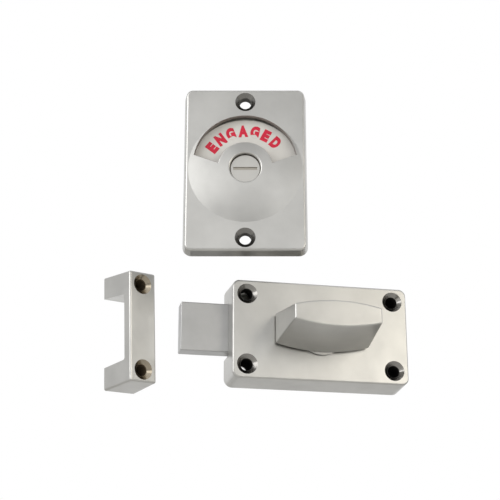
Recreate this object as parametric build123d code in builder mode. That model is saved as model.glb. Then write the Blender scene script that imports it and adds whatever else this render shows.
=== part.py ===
from build123d import *
import os
from math import acos, cos, hypot, pi, radians, sin, sqrt, tan

os.makedirs("parts", exist_ok=True)

# Lock and indicator set for a cubicle door, laid out as three units that stand upright.
# All sizes are in millimetres. +Z is up, and -Y is towards the viewer.
# Each unit is drawn on its own mounting face: X runs to the unit's right, Y runs up,
# and heights are counted from the mounting face towards the front.

# Places of the three mounting faces
indicator_at = (0, 0, 0)
lock_at = (27.3, 32.0, -61.8)
lock_yaw = 11.5
keeper_at = (-51.7, 30.2, -59.6)
keeper_yaw = 37.6
keeper_lean = 2.5

# Screws that hold the units on the door
screw_hole_r = 2.4
screw_head_r = 4.1
screw_cone = 90

# Running fits and small gaps
running_gap = 0.08
seat_gap = 0.1
sink = 0.2

# Indicator plate, measured at its front and with the slope of its sides
plate_w = 47.8
plate_h = 69.4
plate_t = 4.9
plate_flare = 0.9
plate_corner_r = 2.6
plate_foot_corner_r = 3.6
plate_edge_r = 0.9
plate_screw_inset = 5.3

# Dome and window
dome_r = 22.9
dome_rise = 1.5
window_r = 20.95
window_rise = 2.4
window_inner_r = 11.05
window_half_angle = 68.2
window_focus = 2.2
window_edge_r = 0.35
hub_rim_r = 0.55

# Disc, hub and cover of the indicator
cover_t = 0.6
cover_w = 46.4
cover_h = 50.0
cover_corner_r = 2.5
cover_screw_x = 19.5
cover_screw_y = 21.8
cover_screw_r = 1.0
cover_screw_head_r = 1.5
cover_screw_length = 3.0
disc_r = 22.7
disc_t = 0.5
disc_pocket_gap = 0.3
hub_r = 6.1
hub_chamfer = 0.3
rivet_r = 0.6
rivet_ring_r = 7.9
rivet_count = 3
rivet_gap = 0.02
hub_recess = 1.75
hub_flange_r = 9.0
hub_flange_t = 0.4
hub_tail_r = 5.0
hub_tail_reach = 4.0
hub_play = 0.05
washer_t = 0.3
washer_width = 3.6
coin_slot_l = 9.6
coin_slot_w = 1.3
coin_slot_d = 0.5

# Spindle
spindle_w = 5.0
spindle_gap = 0.1
spindle_reach = 22.0
spindle_grip = 5.6
spindle_chamfer = 0.6
socket_depth = 6.7

# Lock case, measured at its front and with the slope of its sides
case_w = 72.0
case_h = 40.0
case_t = 15.3
case_flare = 0.7
case_corner_r = 2.8
case_foot_corner_r = 3.4
case_edge_r = 0.7
case_screw_inset_x = 5.9
case_screw_inset_y = 5.6
case_wall = 2.8
case_front_wall = 2.5
case_boss_r = 4.4
case_inner_corner_r = 1.5

# Back plate of the lock
back_t = 0.9
back_ledge = 1.2
back_corner_r = 2.0
back_screw_r = 1.25
back_screw_head_r = 2.1
back_screw_length = 6.0
back_boss_r = 2.4
back_screw_low_x = 18.0
back_screw_low_inset = 4.0
back_screw_high_left_x = -16.0
back_screw_high_right_x = 21.0
back_screw_high_inset = 3.0
back_hole_r = 4.2

# Rack and pinion
module = 1.0
pinion_teeth = 12
pressure_angle = 20
pinion_addendum = 1.0
pinion_dedendum = 1.25
rack_addendum = 0.7
backlash = 0.12
flank_steps = 6
rack_teeth_left = 8
rack_teeth_right = 2
pinion_t = 6.2
turn_angle = 180

# Bolt
bolt_w = 20.0
bolt_t = 6.7
bolt_rise = 1.8
bolt_reach = 19.6
bolt_play = 0.15
bolt_edge_r = 0.4
bolt_tip_r = 0.5
bolt_tail_x = 7.0
bolt_slot_r = 2.2
bolt_clear = 0.65
rib_t = 1.2

# Spring that bears on the bolt's arm
spring_t = 0.4
spring_w = 4.0
spring_middle_x = 4.0
spring_half_span = 10.5
spring_touch = 0.05
peg_r = 0.8
peg_inset = 1.0

# Thumb-turn
turn_height = 27.3
turn_lift = 1.5
turn_base_l = 38.2
turn_base_mid = 8.7
turn_base_end = 6.0
turn_top_l = 34.4
turn_top_mid = 5.1
turn_top_end = 2.9
turn_edge_r = 0.6
turn_corner_r = 0.8
collar_r = 9.6
shank_r = 5.0
shank_gap_to_pinion = 0.5
bush_wall = 1.2
bush_flange_r = 8.0
bush_flange_t = 0.4
circlip_t = 0.6
circlip_wall = 2.4
circlip_groove = 0.7
circlip_mouth = 60
turn_washer_t = 0.3
pin_r = 0.8
pin_gap = 0.02
pin_height = 2.2
pin_short = 0.3

# Keeper, measured at its front and with the slope of its sides
keeper_w = 12.1
keeper_l = 45.2
keeper_t = 17.7
keeper_flare_w = 1.2
keeper_flare_l = 1.0
keeper_corner_r = 0.8
keeper_edge_r = 0.8
keeper_bridge_t = 3.9
keeper_gap_front = 26.8
keeper_gap_foot = 28.8
keeper_inner_r = 1.0
keeper_screw_inset = 5.0


def mounting_face(at, yaw=0.0, lean=0.0):
    """The plane a unit is mounted by. Its normal points out of the unit's front."""
    turn = radians(yaw)
    tilt = radians(lean)
    front = Vector(sin(turn), -cos(turn), 0)
    level = Vector(cos(turn), sin(turn), 0)
    across = level * cos(tilt) + Vector(0, 0, 1) * sin(tilt)
    return Plane(origin=at, x_dir=across, z_dir=front)


def section(face, x=0.0, y=0.0):
    """A plane through a point of the face, with X across and Y out of the front."""
    origin = face.from_local_coords((x, y, 0))
    return Plane(origin=origin, x_dir=face.x_dir, z_dir=face.x_dir.cross(face.z_dir))


def shifted(face, x=0.0, y=0.0, height=0.0):
    """The face moved to another point of itself and to a height above it."""
    origin = face.from_local_coords((x, y, height))
    return Plane(origin=origin, x_dir=face.x_dir, z_dir=face.z_dir)


def from_behind(face):
    """The same face seen from the door's side, with its normal out of the back."""
    return Plane(origin=face.origin, x_dir=-face.x_dir, z_dir=-face.z_dir)


def axis_out(face, x=0.0, y=0.0):
    """The line out of a face's front through one of its points."""
    return Axis(face.from_local_coords((x, y, 0)), face.z_dir)


def at_height(shapes, face, height):
    """Those of the shapes whose middle is at this height above the face."""
    return shapes.filter_by(lambda s: abs(face.to_local_coords(s.center()).Z - height) < 0.01)


def write(piece, name):
    """Label a finished piece and write it to its own file."""
    piece.part.label = name
    export_step(piece.part, f"parts/{name}.step")


indicator = mounting_face(indicator_at)
lock = mounting_face(lock_at, lock_yaw)
keeper_face = mounting_face(keeper_at, keeper_yaw, keeper_lean)

# Distances between the mounting screws
plate_screw_spacing = plate_h - 2 * plate_screw_inset
case_screw_x = case_w - 2 * case_screw_inset_x
case_screw_y = case_h - 2 * case_screw_inset_y
keeper_screw_spacing = keeper_l - 2 * keeper_screw_inset

# Heights inside the indicator, from its mounting face
flange_z = cover_t + hub_play
disc_z = flange_z + hub_flange_t
washer_z = disc_z + disc_t + hub_play
pocket_z = washer_z + washer_t + seat_gap
dome_sphere_r = (dome_r**2 + dome_rise**2) / (2 * dome_rise)


def dome_height(r):
    """How far the dome stands above the plate's front at a radius."""
    return dome_rise - dome_sphere_r + sqrt(dome_sphere_r**2 - r**2)


hub_hole_r = hub_r + running_gap
hub_top_z = plate_t + dome_rise - hub_recess
cover_screw_spots = [
    (x, y) for x in (-cover_screw_x, cover_screw_x) for y in (-cover_screw_y, cover_screw_y)
]


def cut_edges(piece, near, far):
    """Edges in the plate's front that lie between two distances from the middle."""

    def in_between(edge):
        spots = [indicator.to_local_coords(edge.position_at(part)) for part in (0, 0.5, 1)]
        return all(spot.Z > plate_t - sink and near < hypot(spot.X, spot.Y) < far for spot in spots)

    return piece.edges().filter_by(in_between)


# Indicator plate
with BuildPart() as indicator_plate:
    with BuildSketch(indicator):
        RectangleRounded(plate_w + 2 * plate_flare, plate_h + 2 * plate_flare, plate_foot_corner_r)
    with BuildSketch(indicator.offset(plate_t)):
        RectangleRounded(plate_w, plate_h, plate_corner_r)
    loft()
    fillet(at_height(indicator_plate.edges(), indicator, plate_t), plate_edge_r)
    with BuildSketch(section(indicator)):
        with BuildLine():
            Line((0, plate_t - sink), (dome_r, plate_t - sink))
            Line((dome_r, plate_t - sink), (dome_r, plate_t))
            RadiusArc((dome_r, plate_t), (0, plate_t + dome_rise), -dome_sphere_r)
            Line((0, plate_t + dome_rise), (0, plate_t - sink))
        make_face()
    revolve(axis=axis_out(indicator))
    with BuildSketch(indicator):
        Circle(disc_r + disc_pocket_gap)
    extrude(amount=pocket_z, mode=Mode.SUBTRACT)
    with BuildSketch(indicator):
        RectangleRounded(
            cover_w + 2 * seat_gap, cover_h + 2 * seat_gap, cover_corner_r + seat_gap
        )
    extrude(amount=cover_t + seat_gap / 2, mode=Mode.SUBTRACT)
    with BuildSketch(indicator):
        reach = 2 * window_r
        side_x = reach * sin(radians(window_half_angle))
        side_y = reach * cos(radians(window_half_angle)) - window_focus
        with BuildLine():
            Polyline(
                (0, -window_focus), (-side_x, side_y), (-side_x, reach),
                (side_x, reach), (side_x, side_y), close=True,
            )
        make_face()
        with Locations((0, window_rise)):
            Circle(window_r, mode=Mode.INTERSECT)
        Circle(window_inner_r, mode=Mode.SUBTRACT)
    extrude(amount=plate_t + 2 * dome_rise, mode=Mode.SUBTRACT)
    with BuildSketch(indicator):
        Circle(hub_hole_r)
    extrude(amount=plate_t + 2 * dome_rise, mode=Mode.SUBTRACT)
    fillet(cut_edges(indicator_plate, hub_hole_r - sink, hub_hole_r + sink), hub_rim_r)
    fillet(cut_edges(indicator_plate, window_inner_r - sink, dome_r - sink), window_edge_r)
    with Locations(indicator.offset(plate_t)):
        with GridLocations(0, plate_screw_spacing, 1, 2):
            CounterSinkHole(screw_hole_r, screw_head_r, plate_t, screw_cone)
    with BuildSketch(indicator):
        with Locations(*cover_screw_spots):
            Circle(cover_screw_r + seat_gap / 2)
    extrude(amount=cover_screw_length + seat_gap, mode=Mode.SUBTRACT)
write(indicator_plate, "indicator_plate")

# Printed disc that shows in the window
with BuildPart() as indicator_disc:
    with BuildSketch(indicator.offset(disc_z)):
        Circle(disc_r)
        Circle(hub_r, mode=Mode.SUBTRACT)
        with PolarLocations(rivet_ring_r, rivet_count):
            Circle(rivet_r + rivet_gap, mode=Mode.SUBTRACT)
    extrude(amount=disc_t)
write(indicator_disc, "indicator_disc")

# Turning hub: tail through the cover, flange under the disc, boss through the plate
with BuildPart() as release_hub:
    with BuildSketch(indicator.offset(-hub_tail_reach)):
        Circle(hub_tail_r)
    extrude(amount=hub_tail_reach + flange_z)
    with BuildSketch(indicator.offset(flange_z)):
        Circle(hub_flange_r)
        with PolarLocations(rivet_ring_r, rivet_count):
            Circle(rivet_r + rivet_gap, mode=Mode.SUBTRACT)
    extrude(amount=hub_flange_t)
    with BuildSketch(indicator.offset(disc_z)):
        Circle(hub_r)
    extrude(amount=hub_top_z - disc_z)
    chamfer(at_height(release_hub.edges(), indicator, hub_top_z), hub_chamfer)
    with BuildSketch(indicator.offset(hub_top_z)):
        Rectangle(coin_slot_l, coin_slot_w)
    extrude(amount=-coin_slot_d, mode=Mode.SUBTRACT)
    with BuildSketch(indicator.offset(-hub_tail_reach)):
        Rectangle(spindle_w + 2 * spindle_gap, spindle_w + 2 * spindle_gap)
    extrude(amount=socket_depth, mode=Mode.SUBTRACT)
write(release_hub, "release_hub")

# Flush rivets that hold the disc on the hub's flange
with BuildPart() as disc_rivets:
    with BuildSketch(indicator.offset(flange_z)):
        with PolarLocations(rivet_ring_r, rivet_count):
            Circle(rivet_r)
    extrude(amount=hub_flange_t + disc_t)
write(disc_rivets, "disc_rivets")

# Ring that takes up the hub's end play
with BuildPart() as hub_washer:
    with BuildSketch(indicator.offset(washer_z)):
        Circle(hub_hole_r + washer_width)
        Circle(hub_hole_r, mode=Mode.SUBTRACT)
    extrude(amount=washer_t)
write(hub_washer, "hub_washer")

# Cover let into the back of the plate
with BuildPart() as indicator_cover:
    with BuildSketch(indicator):
        RectangleRounded(cover_w, cover_h, cover_corner_r)
        Circle(hub_tail_r + running_gap, mode=Mode.SUBTRACT)
    extrude(amount=cover_t)
    with Locations(from_behind(indicator)):
        with GridLocations(2 * cover_screw_x, 2 * cover_screw_y, 2, 2):
            CounterSinkHole(
                cover_screw_r + seat_gap / 2, cover_screw_head_r + seat_gap / 2, cover_t, screw_cone
            )
write(indicator_cover, "indicator_cover")


def flat_head_screws(face, spots, r, head_r, length):
    """Small flat-headed screws driven in from the mounting face."""
    head_t = head_r - r
    with BuildPart() as screws:
        with Locations(face):
            with Locations(*spots):
                Cone(head_r, r, head_t, align=(Align.CENTER, Align.CENTER, Align.MIN))
        with Locations(face.offset(head_t)):
            with Locations(*spots):
                Cylinder(r, length - head_t, align=(Align.CENTER, Align.CENTER, Align.MIN))
    return screws


cover_screws = flat_head_screws(
    indicator, cover_screw_spots, cover_screw_r, cover_screw_head_r, cover_screw_length
)
write(cover_screws, "cover_screws")

# Keeper: a bridge on two feet, drilled through both feet
with BuildPart() as keeper:
    with BuildSketch(keeper_face):
        RectangleRounded(
            keeper_w + 2 * keeper_flare_w, keeper_l + 2 * keeper_flare_l, keeper_corner_r
        )
    with BuildSketch(keeper_face.offset(keeper_t)):
        RectangleRounded(keeper_w, keeper_l, keeper_corner_r)
    loft()
    fillet(at_height(keeper.edges(), keeper_face, keeper_t), keeper_edge_r)
    tunnel_l = keeper_w + 4 * keeper_flare_w
    tunnel_top = keeper_t - keeper_bridge_t
    with BuildSketch(keeper_face):
        Rectangle(tunnel_l, keeper_gap_foot)
    with BuildSketch(keeper_face.offset(tunnel_top)):
        Rectangle(tunnel_l, keeper_gap_front)
    loft(mode=Mode.SUBTRACT)
    across = keeper.edges().filter_by(Axis((0, 0, 0), keeper_face.x_dir))
    fillet(at_height(across, keeper_face, tunnel_top), keeper_inner_r)
    with Locations(keeper_face.offset(keeper_t)):
        with GridLocations(0, keeper_screw_spacing, 1, 2):
            CounterSinkHole(screw_hole_r, screw_head_r, keeper_t, screw_cone)
write(keeper, "keeper")

# Heights inside the lock, from its mounting face
bolt_z = back_t + bolt_play
bolt_top_z = bolt_z + bolt_t
room_z = case_t - case_front_wall
shank_z = bolt_top_z + shank_gap_to_pinion / 2
pinion_z = back_t + bolt_play + bolt_play
bush_top_z = case_t + bush_flange_t
collar_z = bush_top_z + hub_play
knob_z = case_t + turn_lift
knob_top_z = case_t + turn_height

# Sizes that follow from the gear
pitch_r = module * pinion_teeth / 2
pinion_tip_r = pitch_r + module * pinion_addendum
pinion_root_r = pitch_r - module * pinion_dedendum
pitch = pi * module
tooth_half = pitch / 4 - backlash / 2
travel = pitch_r * radians(turn_angle)
rack_root_y = pitch_r + module * pinion_dedendum
rack_tip_y = pitch_r - module * rack_addendum

# Outline of the bolt in the lock's own frame
bolt_low_y = bolt_rise - bolt_w / 2
bolt_high_y = bolt_rise + bolt_w / 2
bolt_tip_x = -case_w / 2 - bolt_reach
bolt_back_x = -pinion_tip_r - bolt_clear - travel

# Inside of the case
room_w = case_w + 2 * case_flare - 2 * case_wall
room_h = case_h + 2 * case_flare - 2 * case_wall
room_left_x = -room_w / 2
room_high_y = room_h / 2
recess_w = room_w + 2 * back_ledge
recess_h = room_h + 2 * back_ledge
rib_high_y = bolt_high_y + bolt_play + rib_t / 2
rib_low_y = bolt_low_y - bolt_play - rib_t / 2
rib_left_x = back_screw_high_left_x - back_boss_r - rib_t
rib_right_x = bolt_tail_x + travel + bolt_clear
spring_left_x = spring_middle_x - spring_half_span
spring_right_x = spring_middle_x + spring_half_span
bush_r = shank_r + running_gap + bush_wall
back_screw_low_y = back_screw_low_inset - room_high_y
back_screw_high_y = room_high_y - back_screw_high_inset
back_screw_spots = [
    (-back_screw_low_x, back_screw_low_y),
    (back_screw_low_x, back_screw_low_y),
    (back_screw_high_left_x, back_screw_high_y),
    (back_screw_high_right_x, back_screw_high_y),
]
upper_left_spot = (-case_screw_x / 2, case_screw_y / 2)
other_spots = [
    (-case_screw_x / 2, -case_screw_y / 2),
    (case_screw_x / 2, case_screw_y / 2),
    (case_screw_x / 2, -case_screw_y / 2),
]
peg_spots = [
    (spring_left_x - peg_inset, room_high_y - peg_inset),
    (spring_right_x + peg_inset, room_high_y - peg_inset),
]


def bar(x_from, x_to, y, width):
    """A straight strip of a sketch, along X."""
    with Locations(((x_from + x_to) / 2, y)):
        Rectangle(x_to - x_from, width)


def beside_slot(edge):
    """True for the outer edges that the bolt's slot leaves in the case's side."""
    middle = lock.to_local_coords(edge.center())
    level = abs(abs(middle.Y - bolt_rise) - bolt_w / 2 - bolt_play) < 0.01
    return level and middle.X < -case_w / 2


# Lock case, open at the back, with bosses and guide ribs cast inside
with BuildPart() as lock_case:
    with BuildSketch(lock):
        RectangleRounded(case_w + 2 * case_flare, case_h + 2 * case_flare, case_foot_corner_r)
    with BuildSketch(lock.offset(case_t)):
        RectangleRounded(case_w, case_h, case_corner_r)
    loft()
    fillet(at_height(lock_case.edges(), lock, case_t), case_edge_r)
    with BuildSketch(lock):
        RectangleRounded(room_w, room_h, case_inner_corner_r)
    extrude(amount=room_z, mode=Mode.SUBTRACT)
    with BuildSketch(lock):
        with Locations((room_left_x - case_wall, bolt_rise)):
            Rectangle(3 * case_wall, bolt_w + 2 * bolt_play)
    extrude(amount=bolt_top_z + bolt_play, mode=Mode.SUBTRACT)
    fillet(lock_case.edges().filter_by(beside_slot), bolt_slot_r)
    with BuildSketch(lock):
        RectangleRounded(recess_w, recess_h, back_corner_r)
    extrude(amount=back_t + seat_gap / 2, mode=Mode.SUBTRACT)
    with BuildSketch(lock.offset(back_t + seat_gap / 2)):
        with Locations(*other_spots):
            Circle(case_boss_r)
        with Locations(*back_screw_spots):
            Circle(back_boss_r)
        bar(room_left_x, -bolt_clear - pinion_tip_r, rib_low_y, rib_t)
        bar(rib_left_x, spring_left_x - rib_t, rib_high_y, rib_t)
        bar(spring_right_x + rib_t, rib_right_x, rib_high_y, rib_t)
        with Locations(*peg_spots):
            Circle(peg_r)
    extrude(until=Until.NEXT)
    with BuildSketch(lock.offset(bolt_top_z + bolt_play)):
        with Locations(upper_left_spot):
            Circle(case_boss_r)
    extrude(until=Until.NEXT)
    with BuildSketch(lock.offset(room_z)):
        Circle(bush_r + seat_gap / 2)
    extrude(amount=case_front_wall, mode=Mode.SUBTRACT)
    with Locations(lock.offset(case_t)):
        with GridLocations(case_screw_x, case_screw_y, 2, 2):
            CounterSinkHole(screw_hole_r, screw_head_r, case_t, screw_cone)
    with BuildSketch(lock):
        with Locations(*back_screw_spots):
            Circle(back_screw_r + seat_gap / 2)
    extrude(amount=back_screw_length + seat_gap, mode=Mode.SUBTRACT)
write(lock_case, "lock_case")

# Back plate, let into the case
with BuildPart() as lock_back_plate:
    with BuildSketch(lock):
        RectangleRounded(recess_w - 2 * seat_gap, recess_h - 2 * seat_gap, back_corner_r)
        Circle(back_hole_r, mode=Mode.SUBTRACT)
        with GridLocations(case_screw_x, case_screw_y, 2, 2):
            Circle(screw_hole_r, mode=Mode.SUBTRACT)
    extrude(amount=back_t)
    for spot in back_screw_spots:
        with Locations(from_behind(shifted(lock, *spot))):
            CounterSinkHole(
                back_screw_r + seat_gap / 2, back_screw_head_r + seat_gap / 2, back_t, screw_cone
            )
write(lock_back_plate, "lock_back_plate")

back_screws = flat_head_screws(
    lock, back_screw_spots, back_screw_r, back_screw_head_r, back_screw_length
)
write(back_screws, "back_screws")


def tooth_flank(r):
    """Half the angle that a pinion tooth spans at a radius."""
    base_r = pitch_r * cos(radians(pressure_angle))
    slant = acos(min(1, base_r / r))
    at_pitch = radians(pressure_angle)
    return tooth_half / pitch_r + tan(at_pitch) - at_pitch - tan(slant) + slant


def pinion_outline():
    """Corners of the pinion, with one tooth straight up."""
    base_r = pitch_r * cos(radians(pressure_angle))
    rise = (pinion_tip_r - base_r) / flank_steps
    radii = [pinion_root_r] + [base_r + rise * k for k in range(flank_steps + 1)]
    corners = []
    for tooth in range(pinion_teeth):
        middle = pi / 2 - 2 * pi * tooth / pinion_teeth
        for r in radii:
            a = middle + tooth_flank(max(r, base_r))
            corners.append((r * cos(a), r * sin(a)))
        for r in reversed(radii):
            a = middle - tooth_flank(max(r, base_r))
            corners.append((r * cos(a), r * sin(a)))
    return corners


# Pinion on the spindle
with BuildPart() as pinion:
    with BuildSketch(lock.offset(pinion_z)):
        Polygon(*pinion_outline(), align=None)
        Rectangle(spindle_w + spindle_gap, spindle_w + spindle_gap, mode=Mode.SUBTRACT)
    extrude(amount=pinion_t)
write(pinion, "pinion")


def rack_tooth(x):
    """One tooth of the rack, pointing down from the bolt's arm."""
    slope = tan(radians(pressure_angle))
    tip = pitch / 4 - (pitch_r - rack_tip_y) * slope
    root = pitch / 4 + (rack_root_y + sink - pitch_r) * slope
    Polygon(
        (x - root, rack_root_y + sink), (x - tip, rack_tip_y),
        (x + tip, rack_tip_y), (x + root, rack_root_y + sink), align=None,
    )


# Bolt with its arm and rack
with BuildPart() as bolt:
    with BuildSketch(lock.offset(bolt_z)):
        bar(bolt_tip_x, bolt_back_x, bolt_rise, bolt_w)
    extrude(amount=bolt_t)
    ends = bolt.edges().filter_by(Axis((0, 0, 0), lock.z_dir))
    fillet(ends.sort_by(Axis((0, 0, 0), lock.x_dir))[:2], bolt_tip_r)
    fillet(at_height(bolt.edges(), lock, bolt_z + bolt_t), bolt_edge_r)
    with BuildSketch(lock.offset(bolt_z)):
        bar(bolt_back_x - sink, bolt_tail_x, (rack_root_y + bolt_high_y) / 2, bolt_high_y - rack_root_y)
        for k in range(-rack_teeth_left, rack_teeth_right):
            rack_tooth((k + 1 / 2) * pitch)
    extrude(amount=bolt_t - bolt_edge_r)
write(bolt, "bolt")

# Leaf spring bent between the case's upper wall and the bolt's arm
spring_low_y = bolt_high_y + spring_touch
spring_rise = room_high_y - seat_gap - spring_low_y
spring_r = (spring_half_span**2 + spring_rise**2) / (2 * spring_rise)
spring_z = bolt_z + (bolt_t - spring_w) / 2
with BuildPart() as bolt_spring:
    with BuildSketch(lock.offset(spring_z)):
        with Locations((spring_middle_x, spring_low_y + spring_r)):
            Circle(spring_r)
            Circle(spring_r - spring_t, mode=Mode.SUBTRACT)
        with Locations((spring_middle_x, spring_low_y + spring_rise / 2)):
            Rectangle(3 * spring_half_span, spring_rise, mode=Mode.INTERSECT)
    extrude(amount=spring_w)
write(bolt_spring, "bolt_spring")

# Bush in the case's front wall
with BuildPart() as turn_bush:
    with BuildSketch(lock.offset(room_z)):
        Circle(bush_r)
        Circle(shank_r + running_gap, mode=Mode.SUBTRACT)
    extrude(amount=case_front_wall)
    with BuildSketch(lock.offset(case_t)):
        Circle(bush_flange_r)
        Circle(shank_r + running_gap, mode=Mode.SUBTRACT)
    extrude(amount=bush_flange_t)
write(turn_bush, "turn_bush")

# Washer and circlip that hold the thumb-turn in the bush
washer_top_z = room_z - hub_play
circlip_top_z = washer_top_z - turn_washer_t - hub_play
groove_r = shank_r - circlip_groove
circlip_r = groove_r + hub_play
with BuildPart() as turn_washer:
    with BuildSketch(lock.offset(washer_top_z - turn_washer_t)):
        Circle(bush_flange_r)
        Circle(shank_r + running_gap, mode=Mode.SUBTRACT)
    extrude(amount=turn_washer_t)
write(turn_washer, "turn_washer")

mouth_x = (circlip_r + circlip_wall) * 2 * sin(radians(circlip_mouth / 2))
mouth_y = (circlip_r + circlip_wall) * 2 * cos(radians(circlip_mouth / 2))
with BuildPart() as turn_circlip:
    with BuildSketch(lock.offset(circlip_top_z - circlip_t)):
        Circle(circlip_r + circlip_wall)
        Circle(circlip_r, mode=Mode.SUBTRACT)
        Polygon((0, 0), (-mouth_x, -mouth_y), (mouth_x, -mouth_y), align=None, mode=Mode.SUBTRACT)
    extrude(amount=circlip_t)
write(turn_circlip, "turn_circlip")


# Thumb-turn: grip, collar and shank in one
socket_w = spindle_w + spindle_gap
pin_z = shank_z + pin_height
grip_plans = [
    (knob_z, turn_base_l, turn_base_mid, turn_base_end),
    (knob_top_z, turn_top_l, turn_top_mid, turn_top_end),
]
with BuildPart() as thumb_turn:
    for height, length, middle, end in grip_plans:
        with BuildSketch(lock.offset(height)):
            with BuildLine():
                ThreePointArc((-length / 2, -end), (0, -middle), (length / 2, -end))
                Line((length / 2, -end), (length / 2, end))
                ThreePointArc((length / 2, end), (0, middle), (-length / 2, end))
                Line((-length / 2, end), (-length / 2, -end))
            make_face()
    loft()
    slanted = thumb_turn.edges().filter_by(GeomType.LINE).sort_by(SortBy.LENGTH)[-4:]
    fillet(slanted, turn_corner_r)
    fillet(at_height(thumb_turn.faces(), lock, knob_top_z).edges(), turn_edge_r)
    with BuildSketch(lock.offset(collar_z)):
        Circle(collar_r)
    extrude(amount=knob_z - collar_z)
    with BuildSketch(lock.offset(shank_z)):
        Circle(shank_r)
    extrude(amount=collar_z - shank_z)
    with BuildSketch(lock.offset(circlip_top_z - circlip_t - hub_play)):
        Circle(2 * shank_r)
        Circle(groove_r, mode=Mode.SUBTRACT)
    extrude(amount=circlip_t + 2 * hub_play, mode=Mode.SUBTRACT)
    with BuildSketch(lock.offset(shank_z)):
        Rectangle(socket_w, socket_w)
    extrude(amount=spindle_grip, mode=Mode.SUBTRACT)
    with BuildSketch(section(lock, 0, -collar_r)):
        with Locations((0, pin_z)):
            Circle(pin_r + pin_gap)
    extrude(amount=2 * collar_r, both=True, mode=Mode.SUBTRACT)
write(thumb_turn, "thumb_turn")

# Square spindle, through the pinion into the thumb-turn
with BuildPart() as spindle:
    with BuildSketch(lock.offset(-spindle_reach)):
        Rectangle(spindle_w, spindle_w)
    extrude(amount=spindle_reach + shank_z + spindle_grip - seat_gap)
    chamfer(at_height(spindle.edges(), lock, -spindle_reach), spindle_chamfer)
    with BuildSketch(section(lock)):
        with Locations((0, pin_z)):
            Circle(pin_r + pin_gap)
    extrude(amount=spindle_w, both=True, mode=Mode.SUBTRACT)
write(spindle, "spindle")

# Cross pin through shank and spindle
with BuildPart() as spindle_pin:
    with BuildSketch(section(lock)):
        with Locations((0, pin_z)):
            Circle(pin_r)
    extrude(amount=shank_r - pin_short, both=True)
write(spindle_pin, "spindle_pin")
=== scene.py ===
import math

import bpy
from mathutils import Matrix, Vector


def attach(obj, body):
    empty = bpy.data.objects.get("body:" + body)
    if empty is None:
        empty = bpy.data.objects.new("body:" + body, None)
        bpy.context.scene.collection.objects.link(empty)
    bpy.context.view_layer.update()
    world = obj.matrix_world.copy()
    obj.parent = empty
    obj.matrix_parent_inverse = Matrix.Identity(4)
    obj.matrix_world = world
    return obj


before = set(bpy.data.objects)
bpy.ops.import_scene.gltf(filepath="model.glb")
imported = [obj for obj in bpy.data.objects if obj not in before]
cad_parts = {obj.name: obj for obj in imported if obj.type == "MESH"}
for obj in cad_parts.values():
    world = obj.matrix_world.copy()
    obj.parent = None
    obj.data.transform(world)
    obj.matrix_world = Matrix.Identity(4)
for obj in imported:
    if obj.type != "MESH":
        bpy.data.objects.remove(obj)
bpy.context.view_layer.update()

MM = 0.001
WHITE = (1.0, 1.0, 1.0, 1.0)

# Directions in the frame
RIGHT = (1.0, 0.0, 0.0)
UP = (0.0, 0.0, 1.0)
INWARD = (0.0, 1.0, 0.0)
OUTWARD = (0.0, -1.0, 0.0)

# Roughness of every noise, and the depth of the finest grain in metres
NOISE_ROUGH = 0.55
GRAIN = 0.00001


# Small helpers for node materials

def srgb(r, g, b):
    """A colour given in 0-255 steps, as the linear values that a shader takes."""
    def one(v):
        v /= 255
        return v / 12.92 if v <= 0.04045 else ((v + 0.055) / 1.055) ** 2.4
    return (one(r), one(g), one(b), 1.0)


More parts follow.
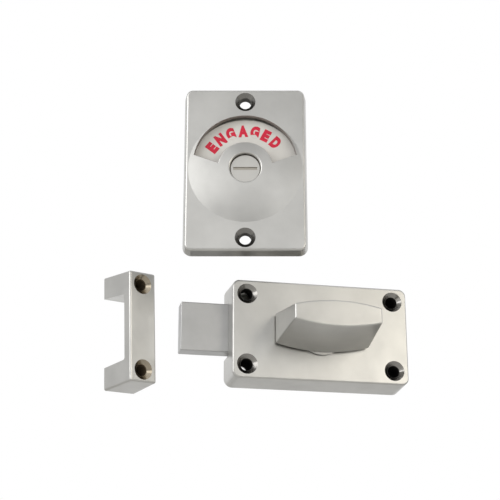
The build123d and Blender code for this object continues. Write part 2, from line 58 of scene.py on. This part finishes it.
class Mat:
    """A material with its principled shader and short ways to add nodes."""

    def __init__(self, name):
        self.material = bpy.data.materials.new(name)
        self.material.use_nodes = True
        self.tree = self.material.node_tree
        self.tree.nodes.clear()
        self.out = self.tree.nodes.new("ShaderNodeOutputMaterial")
        self.shader = self.tree.nodes.new("ShaderNodeBsdfPrincipled")
        self.link(self.shader.outputs[0], self.out.inputs[0])
        self.place = self.tree.nodes.new("ShaderNodeTexCoord").outputs["Object"]

    def link(self, a, b):
        self.tree.links.new(a, b)

    def set(self, **values):
        for key, value in values.items():
            self.shader.inputs[key.replace("_", " ")].default_value = value

    def stretch(self, scale):
        node = self.tree.nodes.new("ShaderNodeMapping")
        node.inputs["Scale"].default_value = scale
        self.link(self.place, node.inputs["Vector"])
        return node.outputs[0]

    def noise(self, scale, detail=3.0, vector=None):
        node = self.tree.nodes.new("ShaderNodeTexNoise")
        node.inputs["Scale"].default_value = scale
        node.inputs["Detail"].default_value = detail
        node.inputs["Roughness"].default_value = NOISE_ROUGH
        self.link(vector or self.place, node.inputs["Vector"])
        return node.outputs["Fac"]

    def span(self, value, low, high, out_low, out_high):
        """A smooth change from out_low to out_high while the value goes from low to high."""
        node = self.tree.nodes.new("ShaderNodeMapRange")
        node.interpolation_type = "SMOOTHSTEP"
        node.inputs["From Min"].default_value = low
        node.inputs["From Max"].default_value = high
        node.inputs["To Min"].default_value = out_low
        node.inputs["To Max"].default_value = out_high
        self.link(value, node.inputs["Value"])
        return node.outputs["Result"]

    def math(self, how, a, b=None):
        node = self.tree.nodes.new("ShaderNodeMath")
        node.operation = how
        for socket, value in zip(node.inputs, (a, b)):
            if value is None:
                continue
            if isinstance(value, (int, float)):
                socket.default_value = value
            else:
                self.link(value, socket)
        return node.outputs[0]

    def mix(self, factor, a, b):
        node = self.tree.nodes.new("ShaderNodeMix")
        node.data_type = "RGBA"
        for name, value in (("Factor_Float", factor), ("A_Color", a), ("B_Color", b)):
            socket = next(s for s in node.inputs if s.identifier == name)
            if isinstance(value, (tuple, float, int)):
                socket.default_value = value
            else:
                self.link(value, socket)
        return next(s for s in node.outputs if s.identifier == "Result_Color")

    def offset(self, point):
        """Where a spot lies from a point given in millimetres."""
        node = self.tree.nodes.new("ShaderNodeVectorMath")
        node.operation = "SUBTRACT"
        node.inputs[1].default_value = tuple(v * MM for v in point)
        self.link(self.place, node.inputs[0])
        return node.outputs[0]

    def along(self, vector, direction):
        """How far a vector reaches in a direction."""
        node = self.tree.nodes.new("ShaderNodeVectorMath")
        node.operation = "DOT_PRODUCT"
        node.inputs[1].default_value = direction
        self.link(vector, node.inputs[0])
        return node.outputs["Value"]

    def from_line(self, point, direction):
        """How far a spot is from a line."""
        cross = self.tree.nodes.new("ShaderNodeVectorMath")
        cross.operation = "CROSS_PRODUCT"
        cross.inputs[1].default_value = direction
        self.link(self.offset(point), cross.inputs[0])
        size = self.tree.nodes.new("ShaderNodeVectorMath")
        size.operation = "LENGTH"
        self.link(cross.outputs[0], size.inputs[0])
        return size.outputs["Value"]

    def bump(self, height, strength, distance):
        node = self.tree.nodes.new("ShaderNodeBump")
        node.inputs["Strength"].default_value = strength
        node.inputs["Distance"].default_value = distance
        self.link(height, node.inputs["Height"])
        self.link(node.outputs[0], self.shader.inputs["Normal"])

    def color(self, value):
        self.link(value, self.shader.inputs["Base Color"])

    def rough(self, value):
        self.link(value, self.shader.inputs["Roughness"])


def shade(names, mat):
    """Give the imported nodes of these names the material."""
    for name in names:
        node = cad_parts[name]
        for slot in node.material_slots:
            slot.material = mat.material


def unit_axes(yaw=0.0, lean=0.0):
    """Right, up and front of a unit that is turned by yaw and leans sideways, in degrees."""
    turn, tilt = math.radians(yaw), math.radians(lean)
    front = Vector((math.sin(turn), -math.cos(turn), 0.0))
    level = Vector((math.cos(turn), math.sin(turn), 0.0))
    right = level * math.cos(tilt) + Vector((0.0, 0.0, 1.0)) * math.sin(tilt)
    return right, front.cross(right), front


# Materials

# Screw holes: radii, how softly their painted shade begins and ends, and the cone's depth in
# millimetres
BORE_R = 2.5 * MM
CONE_R = 4.15 * MM
TINT_IN = 0.1 * MM
BORE_OUT = 0.15 * MM
CONE_END = 2.6
CONE_FULL = 2.2
CONE_ROUGH = 0.2

# The coin slot's painted shade ends between these two: height, half width and half length
SLOT_HEIGHT = (4.3 * MM, 4.6 * MM)
SLOT_WIDTH = (0.7 * MM, 0.8 * MM)
SLOT_LENGTH = (4.9 * MM, 5.0 * MM)

# The window wall's painted shade begins above the disc, and ends below the rim and outside the
# window
WALL_START = (1.7 * MM, 1.9 * MM)
WALL_END = (4.55 * MM, 4.85 * MM)
WALL_R = (21.6 * MM, 21.9 * MM)
WINDOW_CENTRE = (0.0, 0.0, 2.0)

# Slow changes of tone, as shares of a metal's colour
SATIN_DARK = 0.93
SATIN_LIGHT = 1.05
PLAIN_DARK = 0.82


def drilled(m, at, axes, spots, thickness, cone_metal_and_shade, bore_painted_shade, tone, gloss):
    """Countersinks darkened partly for their turned, unplated metal and partly by painted shade,
    and dull bores painted dark for the shade in them, round the screw axes of a unit.
    """
    right, up, front = axes
    near = None
    for x, y in spots:
        centre = Vector(at) + right * x + up * y
        r = m.from_line(tuple(centre), tuple(front))
        near = r if near is None else m.math("MINIMUM", near, r)
    height = m.along(m.offset(at), tuple(front))
    end, full = (thickness - CONE_END) * MM, (thickness - CONE_FULL) * MM
    front_part = m.span(height, end, full, 0.0, 1.0)
    cone = m.math("MULTIPLY", m.span(near, CONE_R - TINT_IN, CONE_R, 1.0, 0.0), front_part)
    bore = m.span(near, BORE_R - TINT_IN, BORE_R + BORE_OUT, 1.0, 0.0)
    m.set(Specular_IOR_Level=0.0)
    m.link(m.math("SUBTRACT", 1.0, bore), m.shader.inputs["Metallic"])
    turned = m.math("MULTIPLY", cone, m.math("SUBTRACT", gloss, CONE_ROUGH))
    # The bores take a painted shade colour; the cones take a colour that is partly turned metal and
    # partly painted shade
    tone = m.mix(bore, m.mix(cone, tone, cone_metal_and_shade), bore_painted_shade)
    return tone, m.math("SUBTRACT", gloss, turned)


def satin(name, base, low, high, seed, holes=None, cut=None, painted_shade_tint=None):
    """Satin chrome: fine even blasting under the plating, with slow changes in gloss and tone, and
    painted shade in a given cut and in the screw holes.
    """
    m = Mat(name)
    m.set(Metallic=1.0)
    slow = m.noise(55.0 + seed, detail=4.0)
    dark = tuple(v * SATIN_DARK for v in base[:3]) + (1.0,)
    light = tuple(min(1.0, v * SATIN_LIGHT) for v in base[:3]) + (1.0,)
    tone = m.mix(m.span(slow, 0.3, 0.7, 0.0, 1.0), dark, light)
    gloss = m.span(m.noise(130.0 + seed, detail=5.0), 0.25, 0.75, low, high)
    # Painted shade inside a cut, such as the window's sides or the coin slot
    if cut:
        tone = m.mix(cut(m), tone, painted_shade_tint)
    # Painted shade in the screw holes
    if holes:
        tone, gloss = drilled(m, *holes, tone, gloss)
    m.color(tone)
    m.rough(gloss)
    return m


def coin_slot_painted_shade(m):
    """Where shade is painted inside the slot across the release hub's face."""
    depth = m.span(m.along(m.place, OUTWARD), *SLOT_HEIGHT, 1.0, 0.0)
    width = m.span(m.math("ABSOLUTE", m.along(m.place, UP)), *SLOT_WIDTH, 1.0, 0.0)
    length = m.span(m.math("ABSOLUTE", m.along(m.place, RIGHT)), *SLOT_LENGTH, 1.0, 0.0)
    return m.math("MULTIPLY", depth, m.math("MULTIPLY", width, length))


def window_wall_painted_shade(m):
    """Where shade is painted on the cut sides of the plate's window, below its rim."""
    height = m.along(m.place, OUTWARD)
    level = m.math("MULTIPLY", m.span(height, *WALL_START, 0.0, 1.0),
                   m.span(height, *WALL_END, 1.0, 0.0))
    around = m.span(m.from_line(WINDOW_CENTRE, INWARD), *WALL_R, 1.0, 0.0)
    return m.math("MULTIPLY", level, around)


# Painted shade for the window's cut sides
painted_shade_wall = (0.30, 0.265, 0.25, 1.0)
# Painted shade for the inside of the coin slot
painted_shade_slot = (0.40, 0.375, 0.33, 1.0)
chrome_face = (0.52, 0.515, 0.495, 1.0)
# Countersink tints are partly the turned metal's own colour and partly painted shade; bore tints
# are painted shade
dark_cone_metal_and_shade = (0.30, 0.29, 0.275, 1.0)
plate_cone_metal_and_shade = (0.22, 0.215, 0.205, 1.0)
warm_cone_metal_and_shade = (0.36, 0.315, 0.245, 1.0)
black_bore_painted_shade = (0.02, 0.019, 0.018, 1.0)
plate_bore_painted_shade = (0.13, 0.128, 0.122, 1.0)
warm_bore_painted_shade = (0.11, 0.085, 0.055, 1.0)
bolt_face = (0.44, 0.44, 0.436, 1.0)
hub_face = (0.53, 0.52, 0.492, 1.0)

# Each unit's place, axes, screw holes, thickness, and countersink and bore tints that carry painted
# shade, in millimetres and degrees
plate_spots = [(0.0, 29.4), (0.0, -29.4)]
lock_spots = [(x, y) for x in (-30.1, 30.1) for y in (-14.4, 14.4)]
keeper_spots = [(0.0, 17.6), (0.0, -17.6)]
plate_holes = ((0.0, 0.0, 0.0), unit_axes(), plate_spots, 4.9, plate_cone_metal_and_shade, plate_bore_painted_shade)
lock_holes = ((27.3, 32.0, -61.8), unit_axes(11.5), lock_spots, 15.3, dark_cone_metal_and_shade, black_bore_painted_shade)
keeper_holes = ((-51.7, 30.2, -59.6), unit_axes(37.6, 2.5), keeper_spots, 17.7,
                warm_cone_metal_and_shade, warm_bore_painted_shade)

shade(["indicator_plate"], satin("satin_chrome_plate", chrome_face, 0.29, 0.35, 0.0,
                                 plate_holes, window_wall_painted_shade, painted_shade_wall))
shade(["lock_case"], satin("satin_chrome_case", chrome_face, 0.29, 0.36, 3.0, lock_holes))
shade(["keeper"], satin("satin_chrome_keeper", chrome_face, 0.29, 0.35, 7.0, keeper_holes))
shade(["bolt"], satin("satin_chrome_bolt", bolt_face, 0.34, 0.42, 11.0))
shade(["thumb_turn"], satin("satin_chrome_turn", chrome_face, 0.29, 0.34, 5.0))
shade(["release_hub"], satin("satin_chrome_hub", hub_face, 0.29, 0.36, 9.0,
                             None, coin_slot_painted_shade, painted_shade_slot))


def plain_metal(name, base, low, high, scale):
    """Metal of the inner pieces: cloudy in tone and gloss, with a fine drawn grain."""
    m = Mat(name)
    m.set(Metallic=1.0)
    cloud = m.noise(scale, detail=4.0)
    dark = tuple(v * PLAIN_DARK for v in base[:3]) + (1.0,)
    m.color(m.mix(m.span(cloud, 0.35, 0.65, 0.0, 1.0), dark, base))
    m.rough(m.span(m.noise(scale * 3, detail=4.0), 0.3, 0.7, low, high))
    m.bump(m.noise(3000.0, detail=2.0, vector=m.stretch((1.0, 1.0, 0.08))), 0.2, GRAIN)
    return m


plated = plain_metal("zinc_plated_steel", srgb(198, 199, 194), 0.28, 0.42, 180.0)
shade(["indicator_cover", "lock_back_plate", "cover_screws", "back_screws", "spindle",
       "spindle_pin", "turn_washer"], plated)
tempered = plain_metal("tempered_steel", srgb(120, 121, 124), 0.3, 0.45, 240.0)
shade(["turn_circlip", "bolt_spring"], tempered)
brass = plain_metal("brass", srgb(214, 178, 106), 0.26, 0.4, 220.0)
shade(["disc_rivets", "turn_bush", "pinion"], brass)

nylon = Mat("nylon")
nylon.set(Subsurface_Weight=0.15, Subsurface_Scale=0.001)
nylon.color(nylon.mix(nylon.noise(300.0), srgb(222, 222, 214), srgb(232, 232, 226)))
nylon.rough(nylon.span(nylon.noise(900.0), 0.3, 0.7, 0.4, 0.55))
nylon.bump(nylon.noise(4000.0), 0.1, GRAIN)
shade(["hub_washer"], nylon)

enamel = Mat("white_enamel")
enamel.color(enamel.mix(enamel.span(enamel.noise(120.0, detail=4.0), 0.3, 0.7, 0.0, 1.0),
                        srgb(204, 202, 197), srgb(211, 209, 204)))
enamel.rough(enamel.span(enamel.noise(600.0), 0.3, 0.7, 0.38, 0.5))
enamel.bump(enamel.noise(2600.0, detail=2.0), 0.12, GRAIN)
shade(["indicator_disc"], enamel)


def ink(name, colour, deep):
    """Printing ink that is a little uneven in colour and gloss."""
    m = Mat(name)
    m.color(m.mix(m.span(m.noise(900.0, detail=3.0), 0.35, 0.65, 0.0, 1.0), colour, deep))
    m.rough(m.span(m.noise(1500.0), 0.3, 0.7, 0.32, 0.48))
    m.bump(m.noise(5000.0, detail=2.0), 0.15, GRAIN)
    return m


red_ink = ink("red_ink", srgb(208, 2, 54), srgb(196, 0, 46))
green_ink = ink("green_ink", srgb(24, 128, 66), srgb(20, 112, 56))

# State words on the disc

DISC_FRONT = -1.55 * MM
INK = 0.05 * MM

# In the font's own units
LETTER_WEIGHT = 0.08
LETTER_HALF = 0.5


def glyph(letter, width, height):
    """Points and faces of one bold letter, fitted to a width and a height about its centre."""
    curve = bpy.data.curves.new("glyph", "FONT")
    curve.body = letter
    curve.size = 1.0
    curve.offset = LETTER_WEIGHT
    curve.extrude = LETTER_HALF
    curve.resolution_u = 5
    shape = bpy.data.objects.new("glyph", curve)
    bpy.context.scene.collection.objects.link(shape)
    graph = bpy.context.evaluated_depsgraph_get()
    mesh = bpy.data.meshes.new_from_object(shape.evaluated_get(graph))
    bpy.data.objects.remove(shape)
    xs = [v.co.x for v in mesh.vertices]
    ys = [v.co.y for v in mesh.vertices]
    cx, cy = (min(xs) + max(xs)) / 2, (min(ys) + max(ys)) / 2
    sx, sy = width / (max(xs) - min(xs)), height / (max(ys) - min(ys))
    points = [((v.co.x - cx) * sx, (v.co.y - cy) * sy, v.co.z + LETTER_HALF)
              for v in mesh.vertices]
    faces = [tuple(p.vertices) for p in mesh.polygons]
    bpy.data.meshes.remove(mesh)
    return points, faces


def word(name, letters, mat):
    """One piece with every letter of a word on the disc's face.

    Each letter has its angle, clockwise from straight up, and its radius, width and height.
    """
    points, faces = [], []
    for letter, angle, r, width, height in letters:
        a = math.radians(angle)
        along = Vector((math.cos(a), 0.0, -math.sin(a)))
        outward = Vector((math.sin(a), 0.0, math.cos(a)))
        centre = outward * r * MM
        start = len(points)
        shape, sides = glyph(letter, width * MM, height * MM)
        for x, y, z in shape:
            p = centre + along * x + outward * y
            p.y = DISC_FRONT - z * INK
            points.append(p)
        faces += [tuple(start + i for i in side) for side in sides]
    mesh = bpy.data.meshes.new(name)
    mesh.from_pydata([tuple(p) for p in points], [], faces)
    mesh.update()
    piece = bpy.data.objects.new(name, mesh)
    bpy.context.scene.collection.objects.link(piece)
    mesh.materials.append(mat.material)
    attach(piece, "hub")


word("word_engaged", [
    ("E", -52.0, 17.0, 3.2, 5.2), ("N", -35.5, 17.3, 3.7, 5.2), ("G", -19.7, 17.6, 3.7, 5.3),
    ("A", -3.0, 17.8, 4.0, 5.2), ("G", 12.7, 17.8, 3.7, 5.3), ("E", 28.0, 17.8, 3.2, 5.2),
    ("D", 44.0, 17.6, 3.5, 5.2),
], red_ink)
word("word_vacant", [
    ("V", 138.0, 17.2, 4.6, 5.9), ("A", 155.0, 17.2, 4.6, 5.9), ("C", 172.0, 17.3, 4.2, 6.0),
    ("A", 189.0, 17.2, 4.6, 5.9), ("N", 206.0, 17.2, 4.2, 5.9), ("T", 222.0, 17.2, 3.9, 5.9),
], green_ink)

# Camera, which looks up at the set

LOOK_UP = 19.5
camera_data = bpy.data.cameras.new("camera")
camera_data.lens = 90.0
camera_data.sensor_width = 36.0
camera_data.clip_start = 0.01
camera = bpy.data.objects.new("camera", camera_data)
camera.location = (0.0019, -0.4653, -0.1977)
camera.rotation_euler = (math.radians(90 + LOOK_UP), 0.0, 0.0)
bpy.context.scene.collection.objects.link(camera)
bpy.context.scene.camera = camera

# Floor, world and lamps

FLOOR_REACH = 4.0
FLOOR_Z = -0.225

# Where the floor behind the set starts to look white in the metal, and where it is fully white
GLOW_START = 0.35
GLOW_FULL = 0.7

floor_mesh = bpy.data.meshes.new("floor")
corners = [(x * FLOOR_REACH, y * FLOOR_REACH, 0) for x, y in ((-1, -1), (1, -1), (1, 1), (-1, 1))]
floor_mesh.from_pydata(corners, [], [(0, 1, 2, 3)])
floor = bpy.data.objects.new("floor", floor_mesh)
floor.location = (0.0, 0.0, FLOOR_Z)
bpy.context.scene.collection.objects.link(floor)


def reflected(tree):
    """1 for the rays that metal and glass send out, and 0 for all others."""
    path = tree.nodes.new("ShaderNodeLightPath")
    either = tree.nodes.new("ShaderNodeMath")
    either.operation = "MAXIMUM"
    tree.links.new(path.outputs["Is Glossy Ray"], either.inputs[0])
    tree.links.new(path.outputs["Is Transmission Ray"], either.inputs[1])
    return either.outputs[0]


pale = Mat("pale_floor")
pale.color(pale.mix(pale.noise(6.0), srgb(216, 215, 212), srgb(221, 220, 217)))
pale.set(Roughness=0.7)
glow = pale.tree.nodes.new("ShaderNodeEmission")
glow.inputs["Strength"].default_value = 1.0
far = pale.span(pale.along(pale.place, INWARD), GLOW_START, GLOW_FULL, 0.0, 1.0)
cover = pale.tree.nodes.new("ShaderNodeMixShader")
pale.link(pale.math("MULTIPLY", far, reflected(pale.tree)), cover.inputs[0])
pale.link(pale.shader.outputs[0], cover.inputs[1])
pale.link(glow.outputs[0], cover.inputs[2])
pale.link(cover.outputs[0], pale.out.inputs[0])
pale.material.cycles.emission_sampling = "NONE"
floor_mesh.materials.append(pale.material)


def toward(azimuth, elevation):
    """A direction. Azimuth 0 is on the viewer's side, and grows to the right."""
    a, e = math.radians(azimuth), math.radians(elevation)
    return Vector((math.sin(a) * math.cos(e), -math.cos(a) * math.cos(e), math.sin(e)))


# Soft panels that the metal shows: azimuth, elevation, radius in degrees, change of strength
PANELS = [
    (0, 22, 16, 0.67), (-20, 20, 16, 1.36), (13, 14, 12, 0.85), (27, 8, 13, 0.97),
    (0, 6, 22, -0.28), (24, 20, 13, -0.68), (38, 14, 14, -0.62), (0, 38, 18, -0.85),
    (0, 58, 22, -0.23), (0, 90, 50, -0.30), (180, 56, 30, -0.85), (120, 20, 30, -0.30),
    (-120, 20, 30, -0.30),
]

# White behind the set. It fades to this strength on the viewer's side, between the two edges
FRONT_STRENGTH = 0.70
FADE_EDGES = (-0.25, 0.15)


class Sky(Mat):
    """The world's nodes, with the same short ways to add them."""

    def __init__(self):
        world = bpy.data.worlds.new("world")
        bpy.context.scene.world = world
        world.use_nodes = True
        self.tree = world.node_tree
        self.tree.nodes.clear()
        self.place = self.tree.nodes.new("ShaderNodeTexCoord").outputs["Generated"]

    def background(self, strength):
        """White of a strength."""
        node = self.tree.nodes.new("ShaderNodeBackground")
        node.inputs["Color"].default_value = WHITE
        if isinstance(strength, float):
            node.inputs["Strength"].default_value = strength
        else:
            self.link(strength, node.inputs["Strength"])
        return node.outputs[0]

    def choose(self, factor, a, b):
        node = self.tree.nodes.new("ShaderNodeMixShader")
        for socket, value in zip(node.inputs, (factor, a, b)):
            self.link(value, socket)
        return node.outputs[0]


sky = Sky()
shown = sky.span(sky.along(sky.place, INWARD), *FADE_EDGES, FRONT_STRENGTH, 1.0)
for azimuth, elevation, radius, change in PANELS:
    near = sky.along(sky.place, tuple(toward(azimuth, elevation)))
    shown = sky.math("ADD", shown, sky.span(near, math.cos(math.radians(radius)), 1.0, 0.0, change))
camera_ray = sky.tree.nodes.new("ShaderNodeLightPath").outputs["Is Camera Ray"]
sky.link(sky.choose(camera_ray, sky.background(shown), sky.background(1.0)),
         sky.tree.nodes.new("ShaderNodeOutputWorld").inputs[0])


LAMPS_FACE = Vector((0.0, 0.0, -0.03))
WARM_LIGHT = (1.0, 0.94, 0.82)


def softbox(name, azimuth, elevation, distance, width, height, power, colour=WHITE[:3]):
    """A rectangular lamp that faces the set, with its sizes in metres and its power in watts."""
    out = toward(azimuth, elevation)
    data = bpy.data.lights.new(name, "AREA")
    data.shape = "RECTANGLE"
    data.size = width
    data.size_y = height
    data.energy = power
    data.color = colour
    lamp = bpy.data.objects.new(name, data)
    lamp.location = LAMPS_FACE + out * distance
    lamp.rotation_mode = "QUATERNION"
    lamp.rotation_quaternion = out.to_track_quat("Z", "Y")
    lamp.visible_camera = False
    bpy.context.scene.collection.objects.link(lamp)


softbox("left_box", -42, 24, 1.1, 0.6, 0.8, 2.4)
softbox("side_box", -62, 17, 1.1, 0.3, 0.9, 2.2)
softbox("right_box", 46, 8, 1.0, 0.5, 0.5, 1.9, WARM_LIGHT)
softbox("top_box", 10, 68, 1.1, 1.2, 0.9, 2.5)

bpy.context.scene.view_settings.view_transform = "Standard"
